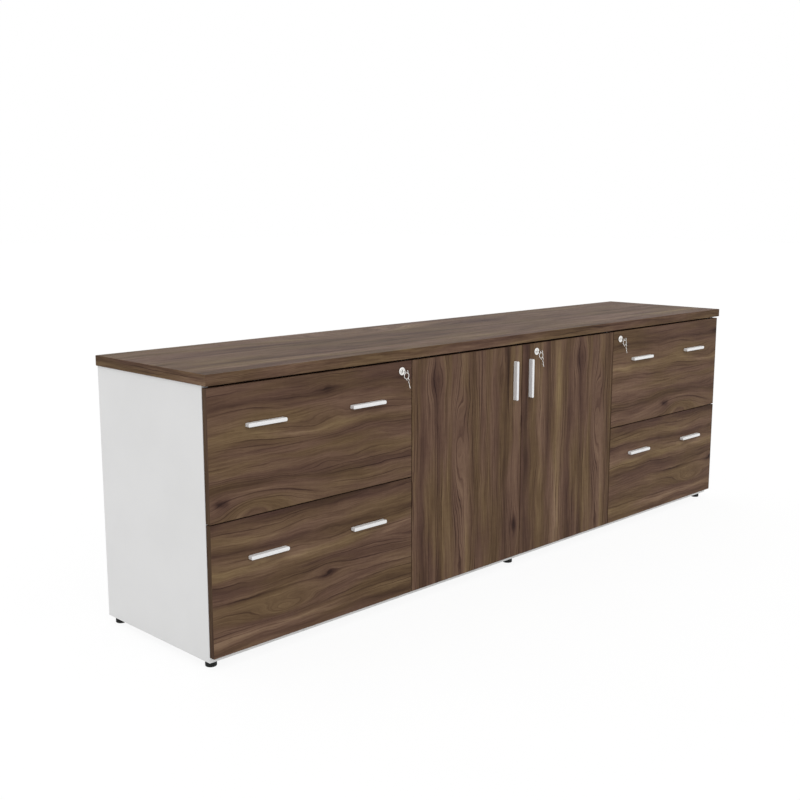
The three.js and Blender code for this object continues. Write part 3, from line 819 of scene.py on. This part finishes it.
def key_bow():
    """A flat ring: at angle a the section runs from the hole's radius to the bow's, with rounded rims, and
    the bow's edge is gently scalloped: its radius plus a small cos 3a."""
    angle = circle(60)
    section = np.radians(np.arange(22.5, 360, 45))
    out = np.sign(np.cos(section)) * np.abs(np.cos(section)) ** BOW_POWER
    up = np.sign(np.sin(section)) * np.abs(np.sin(section)) ** BOW_POWER
    edge = BOW_RADIUS + BOW_SCALLOP * np.cos(3 * angle)
    middle = (edge + KEY_HOLE) / 2
    half = (edge - KEY_HOLE) / 2
    radius = middle + half * out[:, None]
    level = up[:, None] * KEY_THICKNESS / 2
    loops = points_of(radius * np.cos(angle), radius * np.sin(angle), level).swapaxes(0, 1)
    return loft(loops * MM, around=True)


def key_blade(shown):
    """From the bow along +x: a stem, a shoulder, and a blade whose lower edge is cut to the bitting. The
    section is a rounded bar with a groove milled along each face. Only the part outside a lock is shown."""
    stem_at, stem_half = np.array(STEM).T
    tip_at, tip_top, tip_bottom = np.array(TIP).T
    cuts = np.repeat(BITTING, 3)
    place = np.concatenate([stem_at, BLADE_FROM + np.arange(len(cuts)) * BLADE_STEP, tip_at])
    top = np.concatenate([stem_half, np.full(len(cuts), BLADE_HALF), tip_top])
    bottom = np.concatenate([stem_half, BLADE_HALF - cuts, tip_bottom])
    kept = place <= shown
    place, top, bottom = place[kept], top[kept], bottom[kept]
    level = np.array([-1, -0.85, -0.15, 0.15, 0.85, 1, 1, 0.85, 0.15, -0.15, -0.85, -1])
    face = np.array([0.75, 1, 1, 1, 1, 0.75, -0.75, -1, -1, -1, -1, -0.75])
    groove = np.array([0, 0, 0.35, 0.35, 0, 0, 0, 0, 0.35, 0.35, 0, 0])
    milled = (place > GROOVE_FROM)[:, None] * groove * np.sign(face)
    width = np.where(level > 0, level * top[:, None], level * bottom[:, None])
    depth = (face - milled) * KEY_THICKNESS / 2
    return loft(points_of(place[:, None], width, depth) * MM)


def split_ring():
    """Two turns of wire about +Z: at angle a the wire's centre is at the ring's radius and rises by the
    wire's width per turn. The section is an oval in the plane of the radius and Z."""
    angle = np.linspace(-2 * np.pi, 2 * np.pi, 145)[:, None]
    section = circle(10)
    rise = RING_WIDTH * angle / (2 * np.pi)
    out = RING_RADIUS + RING_DEPTH / 2 * np.cos(section)
    level = rise + RING_WIDTH / 2 * np.sin(section)
    return loft(points_of(np.cos(angle) * out, np.sin(angle) * out, level) * MM)


print("key and ring ready")

# %% [markdown]
# A cam lock is a turned barrel through the front with a rose outside and a hexagon nut inside. A plug turns
# in it, and carries a cam, a flat finger that swings behind the carcass edge. In a lock's own frame +Z
# points out of the front, along the key, and +Y points up.

# %% Lock parts
ROSE = [
    (6.0, -26.0), (9.2, -26.0), (9.2, -0.3), (11.5, 0.3), (11.5, 1.3), (11.32, 1.9), (10.9, 2.4),
    (10.2, 2.7), (9.4, 2.8), (8.9, 2.62), (8.4, 2.5), (7.6, 2.5), (7.2, 2.62), (6.6, 2.8), (6.2, 2.74),
    (6.0, 2.55),
]
PLUG = [(4.2, -28.3), (5.2, -28.3), (5.7, -27.6), (5.7, 2.5), (5.5, 3.0), (5.1, 3.2), (3.0, 3.2)]
CAM_SCREW = [(4.6, -28.4), (4.6, -30.2), (4.0, -31.2), (2.6, -31.7)]
NUT = [(0.90, 2.25), (1.0, 1.8), (1.0, -1.8), (0.90, -2.25)]
NUT_ACROSS, NUT_BORE = 20.6, 9.3
CAM_HUB, CAM_END, CAM_REACH = 7.0, 5.0, 23.0
CAM_THICKNESS, CAM_EASE = 2.0, 0.4
KEYWAY_HALF, KEYWAY_RADIUS = 2.9, 1.25
KEYWAY_THICKNESS, KEYWAY_EASE = 0.12, 0.03


def arc(x, y, radius, start, end, steps):
    """Points of a circular arc, in degrees."""
    angle = np.radians(np.linspace(start, end, steps))
    return np.stack([x + radius * np.cos(angle), y + radius * np.sin(angle)], -1)


def cam_plate(side):
    """The outline of a hub and a smaller end joined by straight edges, towards one side."""
    hub = arc(0, 0, CAM_HUB, 90, 270, 17)
    end = arc(CAM_REACH, 0, CAM_END, -90, 90, 13)
    outline = np.concatenate([hub, end]) * (side, 1)
    return plate(outline if side > 0 else outline[::-1], CAM_THICKNESS, CAM_EASE)


def keyway():
    """The outline of a slot with round ends, as a thin plate; dressed in near-black, it is the keyway's painted
    shade.
    """
    upper = arc(0, KEYWAY_HALF, KEYWAY_RADIUS, 0, 180, 9)
    lower = arc(0, -KEYWAY_HALF, KEYWAY_RADIUS, 180, 360, 9)
    return plate(np.concatenate([upper, lower]), KEYWAY_THICKNESS, KEYWAY_EASE)


def hexagon_nut():
    """At angle a the side of a hexagon is at half the width across its flats over cos(a), with a measured
    from the nearest flat. The rows are shares of that, and a circle closes them round the barrel."""
    angle = circle(48)
    reach = NUT_ACROSS / 2 / np.cos((angle + np.pi / 6) % (np.pi / 3) - np.pi / 6)
    bore = np.full((1, len(angle)), NUT_BORE)
    share, height = np.array(NUT).T
    radius = np.concatenate([bore, share[:, None] * reach, bore])
    level = np.concatenate([height[:1], height, height[-1:]])
    loops = points_of(radius * np.cos(angle), radius * np.sin(angle), level[:, None])
    return loft(loops * MM, around=True)


print("lock parts ready")

# %% [markdown]
# The locks are on the two upper drawers and the right door. Each turns about its own joint, and its ring
# about another, in the hole of the key. The spare key hangs a little to one side.

# %% Locks in place
OUT = (0, -1, 0)
SPARE_TILT = math.radians(20)
KEY_STANDOFF = 19.0
KEY_SHOWN = 16.5
NUT_AT, CAM_AT, KEYWAY_AT = -20.55, -27.3, 3.2
JOINTS = {joint["name"]: joint for joint in frame["joints"]}


def key(shown, hole, along, through):
    """A bow and a blade, with the hole of the bow at a place, the blade along one direction from it and the
    hole through another."""
    return [placed(part, hole, along, through) for part in (key_bow(), key_blade(shown))]


def dress_lock(name, cam_side):
    """A lock's housing, its plug with the cam and key, the keyway as a thin plate of painted shade, and the ring
    with the spare key.
    """
    axis = np.array(JOINTS[f"{name}_lock_turn"]["pos_m"])

    def on_axis(part, out=0.0):
        """The part with its +Z out of the front and its x to the right."""
        return placed(part, axis + np.array(OUT) * out * MM, (1, 0, 0), OUT)

    housing, plug, spare = (f"{name}_{part}" for part in ("lock_housing", "lock_plug", "spare_key"))
    parts = [on_axis(turned(ROSE, around=True)), on_axis(hexagon_nut(), NUT_AT)]
    piece(f"{name}_rose", parts, NICKEL, housing)

    hole = axis + np.array(OUT) * KEY_STANDOFF * MM
    cam = on_axis(cam_plate(cam_side), CAM_AT)
    parts = [on_axis(turned(PLUG)), on_axis(turned(CAM_SCREW, 32)), cam]
    parts += key(KEY_SHOWN, hole, (0, 1, 0), (1, 0, 0))
    piece(f"{name}_plug_and_key", parts, NICKEL, plug)
    # The keyway is a thin plate of painted shade on the plug's face.
    piece(f"{name}_keyway", [on_axis(keyway(), KEYWAY_AT)], KEYWAY_SHADE, plug)

    centre = np.array(JOINTS[f"{name}_key_swing"]["pos_m"]) - (0, 0, RING_RADIUS * MM)
    down = np.array((math.sin(SPARE_TILT), 0, -math.cos(SPARE_TILT)))
    hole = centre + down * (RING_RADIUS - RING_DEPTH / 2 + KEY_HOLE) * MM
    parts = [placed(split_ring(), centre, (0, 0, 1), (0, 1, 0))]
    parts += key(KEY_REACH, hole, down, np.cross(down, (0, 1, 0)))
    piece(f"{name}_ring_and_spare_key", parts, NICKEL, spare)


for name, cam_side in (("left_drawer", -1), ("right_drawer", 1), ("door", -1)):
    dress_lock(name, cam_side)
print("locks and keys in place")

# %% [markdown]
# ## Screws
# Pan-head screws with a cross recess hold the hinges, runners, drawer boxes and handles. A head is a height
# over the flat disc: a low dome, less a cross that is cut where a point is close to either of two lines
# through the middle. Worked out on rings and angles, it is a turned shape with one more term.

# %% Screw heads
HEAD_RINGS = (1.0, 1.0, 0.96, 0.86, 0.72, 0.63, 0.58, 0.42, 0.30, 0.20, 0.03)
HEAD_RIM = 0.4
CROSS_HALF, CROSS_REACH, CROSS_DEPTH = 0.17, 0.62, 0.5
RESTING_TURN = (0.35, 0.45, 0.82)


def screw(radius, height):
    """At ring r, as a share of the radius, the height is the rim plus the rest times sqrt(1 - r^2), less a
    recess within the cross's reach where the smaller of |x| and |y| is under its half width. Sizes in mm,
    head up +Z."""
    share = np.array(HEAD_RINGS)[:, None]
    angle = circle(32)
    x = share * np.cos(angle)
    y = share * np.sin(angle)
    dome = HEAD_RIM + (1 - HEAD_RIM) * np.sqrt(np.clip(1 - share ** 2, 0, 1))
    dome[0] = 0
    near = np.minimum(np.abs(x), np.abs(y))
    level = dome - CROSS_DEPTH * ((near < CROSS_HALF) & (share < CROSS_REACH))
    return loft(points_of(radius * x, radius * y, height * level) * MM)


def screw_at(place, out, radius=4.0, height=2.0):
    """A screw with its head out along a direction, its cross turned a little as screws come to rest."""
    out = np.array(out, float)
    side = np.cross(out, RESTING_TURN)
    return placed(screw(radius, height), place, side, out)


print("screw heads ready")

# %% [markdown]
# ## Concealed hinges
# A door hangs on two concealed hinges. A pressed cup is let into its back and held by two screwed ears, and
# an arm reaches into the cup from a plate on the divider. The cup is turned, the ears and plate are flat
# plates with eased rims, and the arm is a rounded section carried along a bent path.

# %% Hinges
CUP = [
    (0.02, -11.5), (16.4, -11.5), (17.0, -11.2), (17.2, -10.6), (17.2, 0.4), (17.05, 0.62), (16.7, 0.7),
    (16.3, 0.62), (16.0, 0.4), (16.0, -9.6), (15.8, -10.1), (15.2, -10.3), (0.02, -10.3),
]
EAR_TOP = 1.5
EAR_SCREW = 24.0
EAR_SCREW_SIZE = (3.6, 1.3)
EAR_FROM, EAR_OPEN = 16.7, 43
EAR_ROUND, EAR_OUT, EAR_HALF = 7.5, 22.5, 4.5
EAR_THICKNESS, EAR_EASE, EAR_AT = 1.2, 0.25, 0.9
ARM_PATH = [
    (0.0, 13.6, 25.4, 0.86), (0.8, 13.0, 26.0, 1.0), (9.0, 13.0, 26.0, 1.0), (13.0, 11.4, 25.0, 1.0),
    (29.0, 1.6, 15.0, 1.0), (33.0, 0.5, 14.0, 1.0), (77.5, 0.5, 14.0, 1.0), (79.0, 0.9, 13.2, 0.86),
]
ARM_HALF = 6.0
ARM_FIT = 0.3
PLATE_MIDDLE, PLATE_HALF, PLATE_LEVEL = 55.0, 24.0, 1.8
PLATE_THICKNESS, PLATE_EASE = 3.0, 0.5
# Places along and across, level and radius of the screws in a hinge's plate and in its arm.
HINGE_SCREW_HEIGHT = 1.4
HINGE_SCREWS = (
    (PLATE_MIDDLE, 17.5, 3.3, 3.8),
    (PLATE_MIDDLE, -17.5, 3.3, 3.8),
    (42.0, 0.0, 14.0, 3.2),
    (66.0, 0.0, 14.0, 3.2),
)


def squircle(steps, power=0.4):
    """A rounded square of half width 1: cosine and sine with their sizes raised to a power below 1."""
    angle = circle(steps)
    wave = np.stack([np.cos(angle), np.sin(angle)], -1)
    return np.sign(wave) * np.abs(wave) ** power


def hinge_arm():
    """Along x in mm: each row of the path gives the place, the lower and upper face and the share of the
    full width; the section is a rounded square stretched to them."""
    place, lower, upper, share = np.array(ARM_PATH).T
    across, up = squircle(32).T
    y = ARM_HALF * share[:, None] * across
    z = (lower + upper)[:, None] / 2 + (upper - lower)[:, None] / 2 * up
    return loft(points_of(place[:, None], y, z) * MM)


def ear(way):
    """One screw ear of a cup: the cup's own arc inside, straight sides and a round end outside."""
    inner = arc(0, 0, EAR_FROM, EAR_OPEN, -EAR_OPEN, 9)
    lower = arc(EAR_OUT, -EAR_HALF, EAR_ROUND, -90, 0, 7)
    upper = arc(EAR_OUT, EAR_HALF, EAR_ROUND, 0, 90, 7)
    outline = np.concatenate([inner, lower, upper])
    return plate(outline * way, EAR_THICKNESS, EAR_EASE)


def dress_hinge(side, sign, end):
    """The cup with its ears on the door, and the arm with its plate on the divider."""
    cup_node = f"{side}_door_{end}_hinge_cup"
    low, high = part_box(cup_node)
    seat = np.array(((low.x + high.x) / 2, high.y - EAR_TOP * MM, (low.z + high.z) / 2))
    parts = [placed(turned(CUP), seat, (0, 0, 1), (0, 1, 0))]
    for way in (1, -1):
        parts.append(placed(ear(way), seat + (0, EAR_AT * MM, 0), (0, 0, 1), (0, 1, 0)))
        spot = seat + np.array((0, EAR_TOP, way * EAR_SCREW)) * MM
        parts.append(screw_at(spot, (0, 1, 0), *EAR_SCREW_SIZE))
    piece(f"{side}_{end}_cup", parts, NICKEL, cup_node)

    arm_node = f"{side}_door_{end}_hinge_arm"
    low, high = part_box(arm_node)
    face = high.x if sign > 0 else low.x
    base = np.array((face + sign * ARM_FIT * MM, low.y, (low.z + high.z) / 2))
    inwards = (-sign, 0, 0)

    def on_plate(part, along=0.0, across=0.0, level=0.0):
        """The part moved in the hinge's own frame, then set on the divider with its x to the back."""
        points, faces = part
        moved = points + np.array((along, across, level)) * MM, faces
        return placed(moved, base, (0, 1, 0), inwards)

    base_plate = plate(squircle(40, 0.5) * PLATE_HALF, PLATE_THICKNESS, PLATE_EASE)
    parts = [on_plate(hinge_arm()), on_plate(base_plate, PLATE_MIDDLE, 0.0, PLATE_LEVEL)]
    for along, across, level, size in HINGE_SCREWS:
        parts.append(on_plate(screw(size, HINGE_SCREW_HEIGHT), along, across, level))
    piece(f"{side}_{end}_arm", parts, NICKEL, arm_node)


SIDES = (("left", -1), ("right", 1))
for side, sign in SIDES:
    for end in ("upper", "lower"):
        dress_hinge(side, sign, end)
print("4 hinges")

# %% [markdown]
# ## Fasteners and shelf pins
# Behind the fronts are the screws that hold the handles, 96 mm apart as such handles have, the screws that
# hold each front to its steel box, and flat ones along the runners. The shelf lies on four pins.

# %% Fasteners
HANDLE_HOLES = 48 * MM
SHEET = 1.5 * MM
BOX_SIDE, BOX_LOWER, BOX_UPPER = 45 * MM, 35 * MM, 75 * MM
RUNNER_FRONT, RUNNER_BACK = 30 * MM, 50 * MM
RUNNER_SCREW_SIZE = (3.4, 0.8)
PIN = [
    (0.02, 0.1), (4.0, 0.1), (4.0, 0.8), (3.7, 1.1), (2.4, 1.2), (2.4, 8.2), (2.0, 8.9), (1.2, 9.2),
    (0.02, 9.2),
]


def drawer_screws(side, level):
    """Screws inside a box's front wall: two for each handle and four for the front."""
    name = f"{side}_{level}_drawer"
    low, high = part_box(f"{name}_box")
    wall = low.y + SHEET
    columns = low.x + BOX_SIDE, high.x - BOX_SIDE
    rows = low.z + BOX_LOWER, high.z - BOX_UPPER
    spots = [(x, z) for x in columns for z in rows]
    for end in ("outer", "inner"):
        near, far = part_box(f"{name}_handle_{end}")
        middle = (near + far) / 2
        spots += [(middle.x + way * HANDLE_HOLES, middle.z) for way in (-1, 1)]
    parts = [screw_at((x, wall, z), (0, 1, 0)) for x, z in spots]
    piece(f"{name}_screws", parts, ZINC, body=BODY_OF[f"{name}_box"])


def runner_screws(side, sign):
    """Three flat screws in the web of each runner, low enough for the rail to pass over."""
    parts = []
    for level in ("upper", "lower"):
        for end, way in (("outer", -sign), ("inner", sign)):
            low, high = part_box(f"{side}_{level}_runner_{end}")
            web = (low.x if way > 0 else high.x) + way * SHEET
            middle = (low.z + high.z) / 2
            spots = np.linspace(low.y + RUNNER_FRONT, high.y - RUNNER_BACK, 3)
            parts += [screw_at((web, y, middle), (way, 0, 0), *RUNNER_SCREW_SIZE) for y in spots]
    piece(f"{side}_runner_screws", parts, ZINC, body="carcass")


for side, sign in SIDES:
    runner_screws(side, sign)
    for level in ("upper", "lower"):
        drawer_screws(side, level)
    low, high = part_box(f"{side}_door_handle")
    middle = (low + high) / 2
    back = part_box(f"{side}_door")[1].y
    parts = [screw_at((middle.x, back, middle.z + way * HANDLE_HOLES), (0, 1, 0)) for way in (-1, 1)]
    piece(f"{side}_door_screws", parts, ZINC, body=f"{side}_door")

pins = []
for side, sign in SIDES:
    near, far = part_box(f"{side}_divider")
    face = near.x if sign > 0 else far.x
    for y in (shelf_low.y + PIN_INSET, shelf_high.y - PIN_INSET):
        place = (face, y, shelf_low.z - PIN_HOLE)
        pins.append(placed(turned(PIN, 24), place, (0, 1, 0), (-sign, 0, 0)))
piece("shelf_pins", pins, NICKEL, body="carcass")
print("screws and shelf pins in place")

# %% [markdown]
# ## Floor and light
# The photograph has a pure white ground and soft light from all round, a little stronger from the front. A
# wide sky does most of it, a broad lamp above the front adds the rest, and a pale floor throws some of it
# back. Floor and sky look whiter than they light: seen directly, in a mirror or through glass, the sky is
# pure white, and the floor is a glow with a little of its own lit colour, so that it meets the sky with no
# edge and still darkens under the feet.

# %% Floor, sky and lamp
FLOOR_SIZE = 60.0
FLOOR_GLOW = 0.90
SKY_LIGHT = 0.87
SKY_SEEN = 1.0
LAMP_LIGHT = 0.72
LAMP_SPREAD = math.radians(70)
LAMP_SHINES = Vector((0.25, 0.80, -0.75))


def seen_directly(tree):
    """1 for rays from the camera, also mirrored or bent ones, and 0 for light that falls on the object."""
    path = tree.nodes.new("ShaderNodeLightPath")
    seen = path.outputs["Is Camera Ray"]
    for ray in ("Is Glossy Ray", "Is Transmission Ray"):
        either = tree.nodes.new("ShaderNodeMath")
        either.operation = "MAXIMUM"
        tree.links.new(seen, either.inputs[0])
        tree.links.new(path.outputs[ray], either.inputs[1])
        seen = either.outputs[0]
    return seen


half = FLOOR_SIZE / 2
corners = [(-half, -half, 0), (half, -half, 0), (half, half, 0), (-half, half, 0)]
floor_mesh = bpy.data.meshes.new("floor")
floor_mesh.from_pydata(corners, [], [(0, 1, 2, 3)])
floor = bpy.data.objects.new("floor", floor_mesh)
scene.collection.objects.link(floor)

ground = Finish("white floor")
ground.tree.nodes.remove(ground.shader)
x, y, _ = ground.place
cloud = ground.noise(x * 3, y * 3)
pale = ground.mix(cloud, (0.88, 0.88, 0.88, 1), (0.90, 0.90, 0.90, 1))
faint = ground.mix(cloud, (0.10, 0.10, 0.10, 1), (0.11, 0.11, 0.11, 1))
plain = ground.node("ShaderNodeBsdfDiffuse", {}, {"Color": pale})
own = ground.node("ShaderNodeBsdfDiffuse", {}, {"Color": faint})
glow = ground.node("ShaderNodeEmission", {}, {"Strength": FLOOR_GLOW})
shown = ground.node("ShaderNodeAddShader", {}, {0: own, 1: glow})
seen = Value(ground, seen_directly(ground.tree))
surface = ground.node("ShaderNodeMixShader", {}, {0: seen, 1: plain, 2: shown})
ground.plug(ground.tree.nodes["Material Output"].inputs["Surface"], surface)
floor_mesh.materials.append(ground.material)

world = bpy.data.worlds.new("sky")
scene.world = world
world.use_nodes = True
sky = world.node_tree
backdrop = sky.nodes["Background"]
level = sky.nodes.new("ShaderNodeMix")
sky.links.new(seen_directly(sky), level.inputs[0])
level.inputs[2].default_value = SKY_LIGHT
level.inputs[3].default_value = SKY_SEEN
sky.links.new(level.outputs[0], backdrop.inputs["Strength"])
backdrop.inputs["Color"].default_value = (1, 1, 1, 1)

lamp = bpy.data.objects.new("front lamp", bpy.data.lights.new("front lamp", "SUN"))
scene.collection.objects.link(lamp)
lamp.data.energy = LAMP_LIGHT
lamp.data.angle = LAMP_SPREAD
lamp.rotation_mode = "QUATERNION"
lamp.rotation_quaternion = LAMP_SHINES.to_track_quat("-Z", "Y")
scene.view_settings.view_transform = "Standard"
print("floor, sky and lamp ready")
